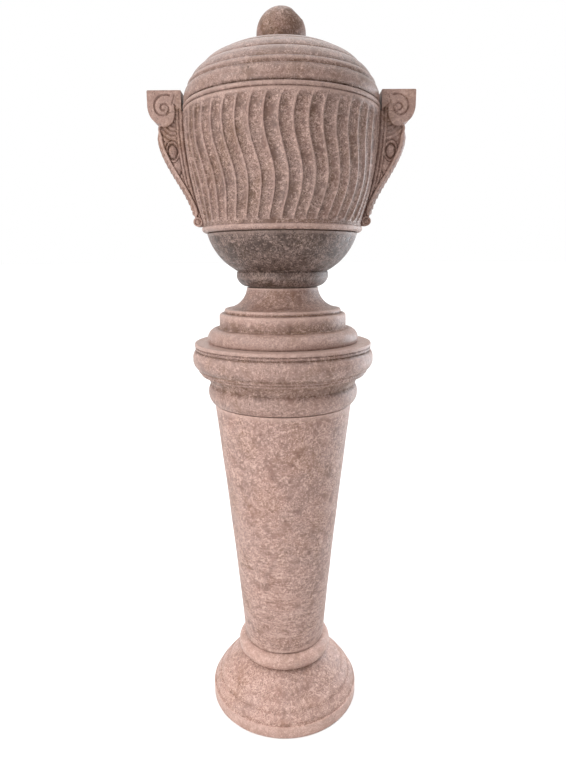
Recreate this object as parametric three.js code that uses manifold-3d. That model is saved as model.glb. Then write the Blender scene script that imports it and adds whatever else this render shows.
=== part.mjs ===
// A lidded stone urn with two scroll handles, standing on a tapered round column.
// Millimetres, +Z up, origin at the centre of the column's underside, handles along X.
import * as THREE from 'three';
import { mergeVertices } from 'three/addons/utils/BufferGeometryUtils.js';
import Module from 'manifold-3d';

const wasm = await Module();
wasm.setup();

// ---- Driving dimensions -------------------------------------------------------------
const fitGap = 0.3; // between faces that touch
const bedJoint = 2.6; // height of a bedded joint between two stones
const bedRake = 5; // how far the bedding stays back from the stone's edge
const facets = 32; // flats around a turned piece
const pinFacets = 12; // flats around a dowel or pin

// Column, from the floor up. A projection is how far a moulding stands out past the shaft.
const plinth = { radius: 218, height: 36, edge: 4 };
const slope = { lowRadius: 198, lowHeight: 28, midRadius: 177, midHeight: 24, height: 54, rise: 2 };
const footRoll = { projection: 20, height: 48 };
const shaft = { footRadius: 118, topRadius: 191, height: 724, hollow: 3 };
const neckRoll = { projection: 16, lip: 3, height: 52 };
const neckCove = { projection: 9, spread: 31, height: 28, depth: 4 };
const neckFillet = { projection: 41, height: 16, step: 6 };
const ovolo = { projection: 49, foot: 45, height: 50, rise: 9 };
const crown = { projection: 50, height: 21, groove: 2.5, edge: 4 };

// Urn foot, stem and bowl.
const footBand = { radius: 207, topRadius: 199, height: 38, slope: 10 };
const footDrum = { radius: 172, height: 40, edge: 8 };
const footStep = { radius: 158, height: 13, batter: 4 };
const stem = { radius: 96, height: 55, spread: 144, hollow: 12 };
const stemRoll = { projection: 27, foot: 2, shoulder: 25, height: 40 };
const bowl = { footRadius: 120, rimInset: 8, height: 96, rise: 12.5, floor: 30 };

// Fluted body: its wall stands on the bowl and its foot carries the lip.
const lip = { projection: 5, setback: 5, under: 9, nose: 5, fascia: 8 };
const drum = { footRadius: 206, topRadius: 248, height: 262, belly: 11, wall: 40, band: 11 };

// Lid. Overhang is past the body's rim and each inset is back from the lid's own edge.
const rim = { overhang: 2, bead: 12, ovoloInset: 10, ovoloHeight: 37, rise: 4 };
const cap = { shoulderInset: 14, shoulderHeight: 16, height: 86, rise: 23, seat: 10, thickness: 44 };
const register = { clearance: 3, depth: 14, width: 34 };
const knob = { footRadius: 50, foot: 8, shoulderRadius: 52, height: 92 };

// Handles. Each reach is measured out from the body: the top ones from its rim, the toe's from its foot.
const handle = { width: 70, footWidth: 34, rise: 49, reach: 87, leafReach: 63, toeReach: 23 };
const volute = { height: 79, corner: 34, undercut: 18 };
const toe = { radius: 12, reach: 15, height: 7 };
const lidClearance = 3;

// Dowels between the stones.
const stackDowel = { radius: 12, length: 180 };
const urnDowel = { radius: 12, seat: 70, proud: 40, clearance: 1 };
const stemDowel = { radius: 10, length: 90 };
const wallPin = { radius: 5, length: 40, count: 4 };
const handlePin = { radius: 5, bodyDepth: 24, lowShare: 0.36, highShare: 0.86, lowReach: 13, highReach: 25 };
const knobDowel = { radius: 6, length: 60 };

// ---- Levels, worked out from the pieces below them ----------------------------------
const baseTop = plinth.height + slope.lowHeight + slope.midHeight + slope.height + footRoll.height;
const shaftFoot = baseTop + bedJoint;
const shaftTop = shaftFoot + shaft.height;
const capitalFoot = shaftTop + bedJoint;
const capitalTop =
  capitalFoot + neckRoll.height + neckCove.height + neckFillet.height + ovolo.height + crown.height;
const urnFoot = capitalTop + fitGap;
const stemTop = urnFoot + footBand.height + footDrum.height + footStep.height + stem.height;
const bowlFoot = stemTop + bedJoint;
const bowlTop = bowlFoot + stemRoll.height + bowl.height;
const bodyFoot = bowlTop + bedJoint;
const fluteFoot = bodyFoot + lip.under + lip.nose + lip.fascia;
const bodyTop = fluteFoot + drum.height + drum.band;
const lidFoot = bodyTop + fitGap;
const lidSeat = lidFoot + rim.bead + rim.ovoloHeight + cap.shoulderHeight + cap.height;
const knobFoot = lidSeat + bedJoint;
const bowlRimRadius = drum.footRadius - bowl.rimInset;
const lidRadius = drum.topRadius + rim.overhang;
const mouthRadius = drum.topRadius - drum.wall;
const cavityFootRadius = drum.footRadius - drum.wall;
const bowlFloor = bowlFoot + stemRoll.height + bowl.floor;

// ---- Materials ----------------------------------------------------------------------
const marble = new THREE.MeshStandardMaterial({ color: 0xa98c80, roughness: 0.45, metalness: 0 });
const mortar = new THREE.MeshStandardMaterial({ color: 0x6f5f54, roughness: 0.95, metalness: 0 });
const steel = new THREE.MeshStandardMaterial({ color: 0x9a9b9c, roughness: 0.35, metalness: 1 });

// ---- Outline of a turned piece: straight stretches and arcs in radius and height -----
class Outline {
  constructor(radius, height) {
    this.points = [new THREE.Vector2(radius, height)];
  }

  // A straight stretch to the next radius and height.
  to(radius, height) {
    this.points.push(new THREE.Vector2(radius, height));
    return this;
  }

  // An arc to the next point that stands out by rise from the straight line, or in if negative.
  arc(radius, height, rise, steps = 4) {
    const start = this.points.at(-1).clone();
    const end = new THREE.Vector2(radius, height);
    const chord = end.clone().sub(start);
    const outward = new THREE.Vector2(chord.y, -chord.x).normalize();
    const halfSweep = 2 * Math.atan((2 * rise) / chord.length());
    const arcRadius = chord.length() / 2 / Math.sin(halfSweep);
    const centre = start.clone().add(end).multiplyScalar(0.5);
    centre.addScaledVector(outward, rise - arcRadius);
    const first = start.clone().sub(centre);
    for (let step = 1; step < steps; step += 1) {
      const turned = first.clone().rotateAround(new THREE.Vector2(), (2 * halfSweep * step) / steps);
      this.points.push(turned.add(centre));
    }
    this.points.push(end);
    return this;
  }

  // A round cap from here to the axis, level where it meets the axis.
  cap(height, steps) {
    const start = this.points.at(-1);
    return this.arc(0, height, levelRise(start.x, height - start.y), steps);
  }
}

// How far an arc stands out from its chord when it is level at the axis.
function levelRise(radius, depth) {
  return (Math.hypot(radius, depth) / 2) * Math.tan(Math.atan2(depth, radius) / 2);
}

// ---- Solids -------------------------------------------------------------------------
function solidOf(geometry) {
  geometry.deleteAttribute('normal');
  geometry.deleteAttribute('uv');
  const merged = mergeVertices(geometry, 1e-3);
  const index = merged.index.array;
  const corners = [];
  for (let i = 0; i < index.length; i += 3) {
    const [a, b, c] = index.slice(i, i + 3);
    if (a !== b && b !== c && c !== a) corners.push(a, b, c);
  }
  const vertProperties = Float32Array.from(merged.attributes.position.array);
  const triVerts = Uint32Array.from(corners);
  return new wasm.Manifold(new wasm.Mesh({ numProp: 3, vertProperties, triVerts }));
}

function turned(outline) {
  return solidOf(new THREE.LatheGeometry(outline.points, facets).rotateX(Math.PI / 2));
}

// A round bar between two heights, at x and y.
function bar(radius, low, high, x = 0, y = 0) {
  const geometry = new THREE.CylinderGeometry(radius, radius, high - low, pinFacets);
  geometry.rotateX(Math.PI / 2).translate(x, y, (low + high) / 2);
  return solidOf(geometry);
}

// A round bar along X between two places, at a height.
function crossBar(radius, from, to, height) {
  const geometry = new THREE.CylinderGeometry(radius, radius, Math.abs(to - from), pinFacets);
  geometry.rotateZ(Math.PI / 2).translate((from + to) / 2, 0, height);
  return solidOf(geometry);
}

// A flat outline in X and Z, made solid along Y about the middle.
function slab(shape, width) {
  const geometry = new THREE.ExtrudeGeometry(shape, { depth: width, bevelEnabled: false, curveSegments: 6 });
  return solidOf(geometry.rotateX(Math.PI / 2).translate(0, width / 2, 0));
}

function meshOf(name, solid, material) {
  const { vertProperties, triVerts } = solid.getMesh();
  const geometry = new THREE.BufferGeometry();
  geometry.setAttribute('position', new THREE.BufferAttribute(vertProperties, 3));
  geometry.setIndex(new THREE.BufferAttribute(triVerts, 1));
  geometry.computeVertexNormals();
  const mesh = new THREE.Mesh(geometry, material);
  mesh.name = name;
  return mesh;
}

// The hole that a bar fills, a fit gap larger all round and at both ends.
function holeFor(radius, low, high, x = 0, y = 0) {
  return bar(radius + fitGap, low - fitGap, high + fitGap, x, y);
}

// The thin round bed between two stones, with the dowel's hole through it.
function bed(level, outerRadius, innerRadius) {
  const low = level + fitGap;
  const high = level + bedJoint - fitGap;
  const outline = new Outline(innerRadius, low)
    .to(outerRadius, low)
    .to(outerRadius, high)
    .to(innerRadius, high)
    .to(innerRadius, low);
  return turned(outline);
}

// ---- Column -------------------------------------------------------------------------
const baseDowelLow = shaftFoot - stackDowel.length / 2;
const baseDowelHigh = shaftFoot + stackDowel.length / 2;
const neckDowelLow = shaftTop - stackDowel.length / 2;
const neckDowelHigh = capitalFoot + neckRoll.height;
const urnDowelLow = capitalTop - urnDowel.seat;
const urnDowelHigh = capitalTop + urnDowel.proud;

function pedestalBase() {
  const lowTop = plinth.height + slope.lowHeight;
  const midTop = lowTop + slope.midHeight;
  const slopeTop = midTop + slope.height;
  const outline = new Outline(0, 0)
    .to(plinth.radius - plinth.edge / 2, 0)
    .to(plinth.radius, plinth.edge / 2)
    .to(plinth.radius, plinth.height - plinth.edge)
    .arc(plinth.radius - plinth.edge, plinth.height, 1.2, 2)
    .arc(slope.lowRadius, lowTop, slope.rise, 2)
    .arc(slope.midRadius, midTop, slope.rise, 2)
    .arc(shaft.footRadius, slopeTop, slope.rise, 3)
    .arc(shaft.footRadius - 2, baseTop, footRoll.projection + 1, 6)
    .to(0, baseTop);
  return turned(outline).subtract(holeFor(stackDowel.radius, baseDowelLow, baseDowelHigh));
}

function pedestalShaft() {
  const outline = new Outline(0, shaftFoot)
    .to(shaft.footRadius, shaftFoot)
    .arc(shaft.topRadius, shaftTop, -shaft.hollow, 3)
    .to(0, shaftTop);
  return turned(outline)
    .subtract(holeFor(stackDowel.radius, baseDowelLow, baseDowelHigh))
    .subtract(holeFor(stackDowel.radius, neckDowelLow, neckDowelHigh));
}

function pedestalCapital() {
  const neck = shaft.topRadius;
  const crownRadius = neck + crown.projection;
  const rollRise = neckRoll.projection - (neckRoll.lip + neckCove.projection) / 2;
  const rollTop = capitalFoot + neckRoll.height;
  const coveTop = rollTop + neckCove.height;
  const filletStep = coveTop + neckFillet.height / 2;
  const filletTop = coveTop + neckFillet.height;
  const ovoloTop = filletTop + ovolo.height;
  const crownLine = ovoloTop + crown.height / 2;
  const outline = new Outline(0, capitalFoot)
    .to(neck + neckRoll.lip, capitalFoot)
    .arc(neck + neckCove.projection, rollTop, rollRise, 4)
    .arc(neck + neckCove.spread, coveTop, -neckCove.depth, 2)
    .to(neck + neckFillet.projection - neckFillet.step, coveTop)
    .to(neck + neckFillet.projection - neckFillet.step, filletStep)
    .to(neck + neckFillet.projection, filletStep)
    .to(neck + neckFillet.projection, filletTop)
    .to(neck + ovolo.foot, filletTop)
    .arc(neck + ovolo.projection, ovoloTop, ovolo.rise, 5)
    .to(crownRadius - crown.groove, ovoloTop)
    .to(crownRadius - 1, ovoloTop + crown.groove)
    .to(crownRadius - 1, crownLine - crown.groove)
    .to(crownRadius - crown.groove, crownLine)
    .to(crownRadius, crownLine + crown.groove)
    .arc(crownRadius - crown.edge, capitalTop, 1.5, 2)
    .to(0, capitalTop);
  return turned(outline)
    .subtract(holeFor(stackDowel.radius, neckDowelLow, neckDowelHigh))
    .subtract(holeFor(urnDowel.radius, urnDowelLow, urnDowelHigh));
}

// ---- Urn ----------------------------------------------------------------------------
const stemDowelLow = bowlFoot - stemDowel.length / 2 - bedJoint;
const stemDowelHigh = bowlFoot + stemRoll.height;
const wallPinCircle = (cavityFootRadius + bowlRimRadius) / 2;
const wallPinLow = bodyFoot - wallPin.length / 2;
const wallPinHigh = bodyFoot + wallPin.length / 2;

function wallPins(make) {
  return Array.from({ length: wallPin.count }, (_, i) => {
    const turn = ((i + 0.5) / wallPin.count) * 2 * Math.PI;
    const x = wallPinCircle * Math.cos(turn);
    const y = wallPinCircle * Math.sin(turn);
    return make(wallPin.radius, wallPinLow, wallPinHigh, x, y);
  });
}

function urnFootStone() {
  const bandTop = urnFoot + footBand.height;
  const drumTop = bandTop + footDrum.height;
  const stepTop = drumTop + footStep.height;
  const outline = new Outline(0, urnFoot)
    .to(footBand.radius - 4, urnFoot)
    .arc(footBand.topRadius, bandTop - footBand.slope, 4, 3)
    .arc(footDrum.radius + 3, bandTop, 3, 2)
    .to(footDrum.radius, drumTop - footDrum.edge)
    .arc(footDrum.radius - footDrum.edge, drumTop, 2.5, 2)
    .to(footStep.radius, drumTop)
    .to(footStep.radius - footStep.batter, stepTop)
    .to(stem.spread, stepTop)
    .arc(stem.radius, stemTop, -stem.hollow, 4)
    .to(0, stemTop);
  return turned(outline)
    .subtract(bar(urnDowel.radius + urnDowel.clearance, urnFoot - fitGap, urnDowelHigh + urnDowel.clearance))
    .subtract(holeFor(stemDowel.radius, stemDowelLow, stemDowelHigh));
}

function urnBowl() {
  const rollTop = bowlFoot + stemRoll.height;
  const bowlSolid = new Outline(0, bowlFoot)
    .to(stem.radius + stemRoll.foot, bowlFoot)
    .arc(stem.radius + stemRoll.projection, bowlFoot + stemRoll.shoulder, 5, 4)
    .to(stem.radius + stemRoll.projection - 0.5, rollTop - 3)
    .to(bowl.footRadius, rollTop)
    .arc(bowlRimRadius, bowlTop, bowl.rise, 5)
    .to(0, bowlTop);
  const cavity = new Outline(0, bowlFloor)
    .arc(cavityFootRadius, bowlTop + 1, levelRise(cavityFootRadius, bowlTop + 1 - bowlFloor), 5)
    .to(0, bowlTop + 1);
  const stone = turned(bowlSolid)
    .subtract(turned(cavity))
    .subtract(holeFor(stemDowel.radius, stemDowelLow, stemDowelHigh));
  return wallPins(holeFor).reduce((left, hole) => left.subtract(hole), stone);
}

// The body's outside, grown by some distance; its inside is cut separately.
function bodyOutside(grow) {
  const underTop = bodyFoot + lip.under;
  const lipRadius = drum.footRadius + lip.projection + grow;
  return turned(
    new Outline(0, bodyFoot - grow)
      .to(drum.footRadius - lip.setback + grow, bodyFoot - grow)
      .arc(lipRadius, underTop, 2.5, 3)
      .arc(drum.footRadius + grow, underTop + lip.nose, 1.5, 2)
      .to(drum.footRadius + grow, fluteFoot)
      .arc(drum.topRadius + grow, fluteFoot + drum.height, drum.belly, 5)
      .to(drum.topRadius + grow, bodyTop + grow)
      .to(0, bodyTop + grow),
  );
}

// How far out the body's wall is, at a share of the height of its flutes.
function wallRadius(share) {
  const straight = drum.footRadius + (drum.topRadius - drum.footRadius) * share;
  return straight + drum.belly * 4 * share * (1 - share);
}

function handlePins(side, make) {
  const reaches = [[handlePin.lowShare, handlePin.lowReach], [handlePin.highShare, handlePin.highReach]];
  return reaches.map(([share, reach]) => {
    const height = fluteFoot + share * drum.height;
    const wall = wallRadius(share);
    return make(height, side * (wall - handlePin.bodyDepth), side * (wall + reach));
  });
}

function handleHole(height, from, to) {
  const way = Math.sign(to - from);
  return crossBar(handlePin.radius + fitGap, from - way * fitGap, to + way * fitGap, height);
}

function handleBar(height, from, to) {
  return crossBar(handlePin.radius, from, to, height);
}

function urnBody() {
  const cavity = new Outline(0, bodyFoot - 1)
    .to(cavityFootRadius, bodyFoot - 1)
    .to(cavityFootRadius, fluteFoot)
    .arc(mouthRadius, fluteFoot + drum.height, drum.belly, 4)
    .to(mouthRadius, bodyTop + 1)
    .to(0, bodyTop + 1);
  const wall = bodyOutside(0).subtract(turned(cavity));
  const holes = [...wallPins(holeFor), ...handlePins(1, handleHole), ...handlePins(-1, handleHole)];
  return holes.reduce((left, hole) => left.subtract(hole), wall);
}

// A console bracket: a square-topped volute, a leaf that thins towards the foot and a small
// rolled toe, as wide as the volute at the top and narrower at the toe.
function handleStone(side) {
  const top = bodyTop + handle.rise;
  const outer = drum.topRadius + handle.reach;
  const leafOuter = drum.topRadius + handle.leafReach;
  const leafTop = top - volute.height - volute.undercut;
  const toeX = drum.footRadius + toe.reach;
  const toeZ = fluteFoot + toe.height;
  const leafFoot = toeZ + toe.radius;
  const toeOuter = drum.footRadius + handle.toeReach;
  const shape = new THREE.Shape();
  shape.moveTo(0, toeZ - toe.radius);
  shape.lineTo(toeX, toeZ - toe.radius);
  shape.absarc(toeX, toeZ, toe.radius, -Math.PI / 2, Math.PI / 3, false);
  shape.lineTo(toeOuter, leafFoot);
  shape.bezierCurveTo(
    toeOuter + 3, leafFoot + (leafTop - leafFoot) * 0.29,
    leafOuter + 12, leafFoot + (leafTop - leafFoot) * 0.71,
    leafOuter, leafTop,
  );
  shape.lineTo(leafOuter - 6, leafTop + volute.undercut * 0.7);
  shape.lineTo(outer - volute.corner, top - volute.height);
  shape.quadraticCurveTo(outer - 4, top - volute.height + 4, outer, top - volute.height / 2);
  shape.lineTo(outer, top - 3);
  shape.lineTo(outer - 3, top);
  shape.lineTo(0, top);
  const plan = new THREE.Shape();
  plan.moveTo(-handle.footWidth / 2, toeZ - toe.radius - 1);
  plan.lineTo(handle.footWidth / 2, toeZ - toe.radius - 1);
  plan.lineTo(handle.width / 2, leafTop);
  plan.lineTo(handle.width / 2, top + 1);
  plan.lineTo(-handle.width / 2, top + 1);
  plan.lineTo(-handle.width / 2, leafTop);
  const taper = slab(plan, 4 * outer).rotate([0, 0, 90]);
  const lidSpace = turned(
    new Outline(0, bodyTop - 1)
      .to(lidRadius + lidClearance, bodyTop - 1)
      .to(lidRadius + lidClearance, top + 2)
      .to(0, top + 2),
  );
  const whole = slab(shape, handle.width + 2).intersect(taper);
  const stone = whole.subtract(bodyOutside(fitGap)).subtract(lidSpace);
  const placed = side > 0 ? stone : stone.rotate([0, 0, 180]);
  return handlePins(side, handleHole).reduce((left, hole) => left.subtract(hole), placed);
}

// ---- Lid ----------------------------------------------------------------------------
function lidStone() {
  const beadTop = lidFoot + rim.bead;
  const ovoloTop = beadTop + rim.ovoloHeight;
  const shoulderTop = ovoloTop + cap.shoulderHeight;
  const registerRadius = mouthRadius - register.clearance;
  const hollowRadius = registerRadius - register.width;
  const outside = new Outline(0, lidFoot - register.depth)
    .to(registerRadius - 2, lidFoot - register.depth)
    .to(registerRadius, lidFoot - register.depth + 2)
    .to(registerRadius, lidFoot)
    .to(lidRadius - 1, lidFoot)
    .arc(lidRadius - 2.5, beadTop, 1.5, 2)
    .arc(lidRadius - rim.ovoloInset, ovoloTop, rim.rise, 3)
    .to(lidRadius - cap.shoulderInset + 1, ovoloTop + 3)
    .arc(lidRadius - cap.shoulderInset - 6, shoulderTop, 2, 2)
    .arc(knob.shoulderRadius + cap.seat, lidSeat, cap.rise, 6)
    .to(0, lidSeat);
  const hollow = new Outline(0, lidFoot - register.depth - 1)
    .to(hollowRadius, lidFoot - register.depth - 1)
    .to(hollowRadius, lidFoot + rim.bead)
    .cap(lidSeat - cap.thickness, 5);
  return turned(outside)
    .subtract(turned(hollow))
    .subtract(holeFor(knobDowel.radius, knobDowelLow, knobDowelHigh));
}

const knobDowelLow = knobFoot - knobDowel.length / 2;
const knobDowelHigh = knobFoot + knobDowel.length / 2;

function knobStone() {
  const outline = new Outline(0, knobFoot)
    .to(knob.footRadius, knobFoot)
    .to(knob.shoulderRadius, knobFoot + knob.foot)
    .cap(knobFoot + knob.height, 6);
  return turned(outline).subtract(holeFor(knobDowel.radius, knobDowelLow, knobDowelHigh));
}

// ---- Assembly -----------------------------------------------------------------------
const holeRadius = (radius) => radius + 2 * fitGap;
const pedestal = new THREE.Group();
pedestal.add(
  meshOf('pedestal_base', pedestalBase(), marble),
  meshOf('base_bed', bed(baseTop, shaft.footRadius - bedRake, holeRadius(stackDowel.radius)), mortar),
  meshOf('base_dowel', bar(stackDowel.radius, baseDowelLow, baseDowelHigh), steel),
  meshOf('pedestal_shaft', pedestalShaft(), marble),
  meshOf('neck_bed', bed(shaftTop, shaft.topRadius - bedRake, holeRadius(stackDowel.radius)), mortar),
  meshOf('neck_dowel', bar(stackDowel.radius, neckDowelLow, neckDowelHigh), steel),
  meshOf('pedestal_capital', pedestalCapital(), marble),
  meshOf('urn_locating_dowel', bar(urnDowel.radius, urnDowelLow, urnDowelHigh), steel),
);

const urn = new THREE.Group();
urn.add(
  meshOf('urn_foot', urnFootStone(), marble),
  meshOf('stem_bed', bed(stemTop, stem.radius - bedRake, holeRadius(stemDowel.radius)), mortar),
  meshOf('stem_dowel', bar(stemDowel.radius, stemDowelLow, stemDowelHigh), steel),
  meshOf('urn_bowl', urnBowl(), marble),
  meshOf('urn_body', urnBody(), marble),
  meshOf('handle_right', handleStone(1), marble),
  meshOf('handle_left', handleStone(-1), marble),
);
const bowlBed = wallPins(holeFor).reduce(
  (left, hole) => left.subtract(hole),
  bed(bowlTop, bowlRimRadius - bedRake, cavityFootRadius + bedRake),
);
urn.add(meshOf('bowl_bed', bowlBed, mortar));
wallPins(bar).forEach((pin, i) => urn.add(meshOf(`body_pin_${i + 1}`, pin, steel)));
for (const [word, side] of [['right', 1], ['left', -1]]) {
  const [low, high] = handlePins(side, handleBar);
  urn.add(meshOf(`handle_pin_${word}_low`, low, steel));
  urn.add(meshOf(`handle_pin_${word}_high`, high, steel));
}

const lid = new THREE.Group();
lid.add(
  meshOf('lid', lidStone(), marble),
  meshOf('knob_bed', bed(lidSeat, knob.footRadius - bedRake, holeRadius(knobDowel.radius)), mortar),
  meshOf('knob_dowel', bar(knobDowel.radius, knobDowelLow, knobDowelHigh), steel),
  meshOf('lid_knob', knobStone(), marble),
);

const amphora = new THREE.Group();
amphora.add(pedestal, urn, lid);

export default amphora;
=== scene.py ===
"""A carved marble urn with a lid and two console handles, standing on a tapered round column.

Sizes are in millimetres, and each mesh is brought to metres when it is made. Pieces follow in
the order in which the stones are stacked, and the light and the camera come last.
"""
import math

import bpy
import numpy as np
from mathutils import Matrix, Vector


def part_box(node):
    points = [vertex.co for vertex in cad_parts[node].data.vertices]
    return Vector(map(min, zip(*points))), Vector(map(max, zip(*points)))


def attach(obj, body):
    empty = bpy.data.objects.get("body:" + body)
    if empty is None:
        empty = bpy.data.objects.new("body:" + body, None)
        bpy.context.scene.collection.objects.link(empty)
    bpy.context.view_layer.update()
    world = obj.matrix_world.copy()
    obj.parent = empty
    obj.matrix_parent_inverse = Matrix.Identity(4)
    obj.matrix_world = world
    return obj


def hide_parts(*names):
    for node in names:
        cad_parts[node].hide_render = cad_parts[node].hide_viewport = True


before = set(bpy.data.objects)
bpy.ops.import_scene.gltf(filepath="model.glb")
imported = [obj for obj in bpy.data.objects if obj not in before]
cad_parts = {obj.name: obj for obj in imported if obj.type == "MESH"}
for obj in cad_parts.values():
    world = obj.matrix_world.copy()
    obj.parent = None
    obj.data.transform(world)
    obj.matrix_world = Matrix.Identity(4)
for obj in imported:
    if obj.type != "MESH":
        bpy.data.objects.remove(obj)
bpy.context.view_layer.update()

# ---- Column base ---------------------------------------------------------------------
# A round marble plinth with three shallow steps and a half-round roll, turned from one block.
# The column's shaft stands on it in a thin mortar bed, on a steel dowel.
MM = 0.001
FIT = 0.3  # gap between faces that touch
MARBLE = (0.200, 0.114, 0.091)  # pinkish brown ground
MARBLE_GREY = (0.160, 0.109, 0.098)  # mauve clouds
MARBLE_OCHRE = (0.120, 0.056, 0.022)  # brown clouds, and the dark brown that grime and painted shade give hollows and undersides
MARBLE_PALE = (0.470, 0.330, 0.284)  # flecks and worn edges, also painted highlight on the arrises and painted light low on the shaft
MARBLE_PIT = (0.030, 0.016, 0.010)  # open pores
UNDERSIDE_PAINTED_SHADE = 1.3  # painted shade: faces that look down are drawn darker, as if in shade


class Wire:
    """A socket in a node tree: sums on it add Math nodes, and make() adds any other node."""

    def __init__(self, tree, socket=None):
        self.tree, self.socket = tree, socket

    def make(self, kind, settings=(), sockets=(), out=0):
        node = self.tree.nodes.new(kind)
        for key, value in dict(settings).items():
            if key == "stops":
                ramp = node.color_ramp
                while len(ramp.elements) < len(value):
                    ramp.elements.new(0.5)
                for element, (place, shade) in zip(ramp.elements, value):
                    element.position, element.color = place, (shade, shade, shade, 1)
            else:
                setattr(node, key, value)
        for key, value in dict(sockets).items():
            if isinstance(value, Wire):
                self.tree.links.new(value.socket, node.inputs[key])
            else:
                node.inputs[key].default_value = value
        return Wire(self.tree, node.outputs[out])

    def sum(self, operation, *terms):
        return self.make("ShaderNodeMath", {"operation": operation}, dict(enumerate(terms)))

    def __add__(self, other):
        return self.sum("ADD", self, other)

    def __sub__(self, other):
        return self.sum("SUBTRACT", self, other)

    def __rsub__(self, other):
        return self.sum("SUBTRACT", other, self)

    def __mul__(self, other):
        return self.sum("MULTIPLY", self, other)

    def __truediv__(self, other):
        return self.sum("DIVIDE", self, other)

    def __pow__(self, other):
        return self.sum("POWER", self, other)

    __radd__, __rmul__ = __add__, __mul__

    def clamped(self, low=0.0, high=1.0):
        return self.sum("MINIMUM", self.sum("MAXIMUM", self, low), high)

    def fade(self, start, stop):
        """0 at start and 1 at stop, smooth between them and flat outside."""
        return self.make(
            "ShaderNodeMapRange", {"interpolation_type": "SMOOTHSTEP"},
            {"Value": self, "From Min": start, "From Max": stop},
        )

    def blend(self, first, second):
        """The colour that is first where this is 0 and second where it is 1."""
        first, second = [c if isinstance(c, Wire) else (*c, 1) for c in (first, second)]
        return self.make(
            "ShaderNodeMix", {"data_type": "RGBA"}, {0: self, 6: first, 7: second}, out=2
        )


def marble(name, light=1.0, ochre=0.5, pits=0.3, flecks=0.7, tooling_and_painted_light=0.0, gloss=0.36):
    """Honed marble: soft clouds, pale squiggles and brown pores, with grime and painted shade darkening
    the hollows and undersides.
    """
    material = bpy.data.materials.new(name)
    material.use_nodes = True
    tree = material.node_tree
    shader = tree.nodes["Principled BSDF"]
    new = Wire(tree)
    place = new.make("ShaderNodeTexCoord", out="Object")
    # light scales each stone's colours: partly the stone's own tone, partly painted light and shade for
    # how brightly that piece is lit, the bowl darkest and the base lightest
    ground, grey, brown, pale, pit = [
        [channel * light for channel in colour]
        for colour in (MARBLE, MARBLE_GREY, MARBLE_OCHRE, MARBLE_PALE, MARBLE_PIT)
    ]
    pale = [channel / light ** 0.5 for channel in pale]  # flecks darken less than the ground

    def noise(scale, detail=3.0, rough=0.55, warp=0.0, stretch=(1, 1, 1)):
        at = new.make("ShaderNodeMapping", {}, {"Vector": place, "Scale": stretch})
        return new.make("ShaderNodeTexNoise", {}, {
            "Vector": at, "Scale": scale, "Detail": detail, "Roughness": rough, "Distortion": warp,
        })

    def threads(scale, thin, wide):
        """Thin winding lines, where a warped noise passes through its middle value."""
        line = noise(scale, 2.0, 0.5, 2.4, (1, 1, 1.3)) - 0.5
        return 1 - line.sum("ABSOLUTE", line).fade(thin, wide)

    hollow = new.make(
        "ShaderNodeAttribute", {"attribute_type": "GEOMETRY", "attribute_name": "hollow"}, out="Fac"
    )
    clouds = noise(7, 4, 0.6, 0.8).fade(0.38, 0.64)
    drift = noise(12, 4, 0.6, 0.6, (1, 1, 0.7)).fade(0.46, 0.68)
    mottle = noise(60, 5, 0.70, 0.6)
    crumb = noise(125, 3, 0.62, 0.5)
    grain = noise(520, 3, 0.7)
    patches = noise(26, 3, 0.6, 0.4).fade(0.32, 0.56)
    squiggles = (threads(60, 0.005, 0.022) + threads(110, 0.008, 0.034) * 0.8).clamped() * patches
    pores = new.make("ShaderNodeTexVoronoi", {"feature": "F1"}, {"Vector": place, "Scale": 170.0})
    pitted = noise(95, 2, 0.6).fade(0.62 - 0.14 * pits, 0.68 - 0.10 * pits)
    pores = (1 - pores.fade(0.16, 0.34)) * pitted * min(1.0, 0.4 + pits)
    # hollows and undersides are drawn darker and browner: painted shade, with some grime
    dirt_and_painted_shade = hollow.clamped() * (0.30 + 0.70 * mottle.fade(0.38, 0.60))
    # edges are drawn paler: rubbed wear, and on the flutes' arrises painted highlight
    worn = (hollow * -1.0).clamped()

    colour = (clouds * 0.5).blend(ground, grey)
    colour = (drift * ochre).blend(colour, brown)
    colour = (mottle.fade(0.52, 0.64) * 0.34).blend(colour, pale)
    colour = ((1 - mottle.fade(0.34, 0.48)) * 0.40).blend(colour, [c * 0.60 for c in ground])
    colour = (dirt_and_painted_shade * 0.78).blend(colour, [c * 0.62 for c in brown])
    colour = (crumb.fade(0.57, 0.63) * 0.60 * flecks).blend(colour, pale)
    colour = ((1 - crumb.fade(0.36, 0.44)) * 0.50).blend(colour, [c * 0.40 for c in ground])
    colour = (squiggles * flecks * 0.85).blend(colour, [c * 1.25 for c in pale])
    colour = (worn * 0.45).blend(colour, pale)
    colour = (grain.fade(0.35, 0.68) * 0.16).blend(colour, [c * 0.5 for c in ground])
    colour = pores.blend(colour, pit)
    height = mottle * 0.45 + crumb * 0.35 + grain * 0.20 - pores * 0.9 + squiggles * 0.22
    if tooling_and_painted_light:
        tool = noise(70, 2, 0.6, 0.5, (0.30, 0.30, 2.6))
        # paler towards the bottom: the tool marks, and painted light for a brighter lower shaft
        low = 1 - new.make("ShaderNodeSeparateXYZ", {}, {0: place}, out=2).fade(0.35, 0.75)
        height = height + tool * low * tooling_and_painted_light
        colour = (tool.fade(0.52, 0.62) * low * 0.45 * tooling_and_painted_light).blend(colour, pale)
    rough = (gloss + 0.14 * mottle.fade(0.35, 0.7) + 0.22 * dirt_and_painted_shade + 0.25 * pores).clamped(0.2, 0.95)
    bump = new.make(
        "ShaderNodeBump", {}, {"Strength": 0.42, "Distance": 0.0018, "Height": height}
    )
    shader.inputs["Specular IOR Level"].default_value = 0.26
    for socket, wire in (("Base Color", colour), ("Roughness", rough), ("Normal", bump)):
        tree.links.new(wire.socket, shader.inputs[socket])
    return material


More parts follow.
